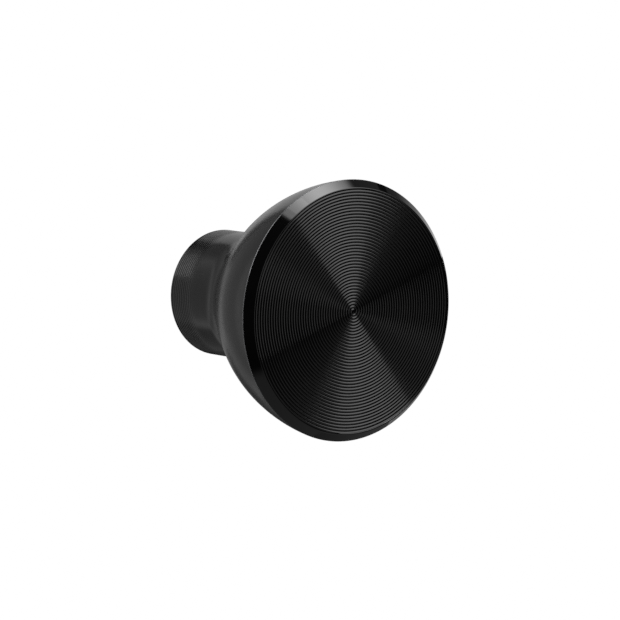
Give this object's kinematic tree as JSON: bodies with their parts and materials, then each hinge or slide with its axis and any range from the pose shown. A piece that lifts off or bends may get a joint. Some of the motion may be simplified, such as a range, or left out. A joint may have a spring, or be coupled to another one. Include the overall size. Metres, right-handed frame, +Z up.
{
  "type": "cabinet knob",
  "caption": "Round bell-shaped cabinet knob with a finely grooved face and foot, on a short neck, fixed from behind by a machine screw and washer.",
  "frame": {"origin": "centre of the foot's flat mounting face, where the screw's axis meets the door", "axes": "+Y along the knob's axis into the door, so the grooved face looks towards -Y; +Z up"},
  "size_m": [0.038, 0.0365, 0.038],
  "materials": {
    "black_anodised_aluminium": "black anodised, satin on the turned surfaces, polished on the face's chamfer",
    "zinc_plated_steel": "bright zinc plate",
    "washer_steel": "stamped, bright zinc plate"
  },
  "bodies": {
    "knob": {"knob_body": "black_anodised_aluminium"},
    "washer": {"screw_washer": "washer_steel"},
    "screw": {"mounting_screw": "zinc_plated_steel"}
  },
  "joints": [
    {"name": "screw_travel", "type": "slide", "parent": "knob", "child": "washer", "axis": [0, 1, 0], "range_m": [0, 0.0189]},
    {"name": "screw_turn", "type": "hinge", "parent": "washer", "child": "screw", "pos_m": [0, 0, 0], "axis": [0, 1, 0], "range_deg": [0, 9720]}
  ],
  "couplings": [
    {"joint": "screw_turn", "follows": "screw_travel", "rad_per_m": 8976}
  ]
}
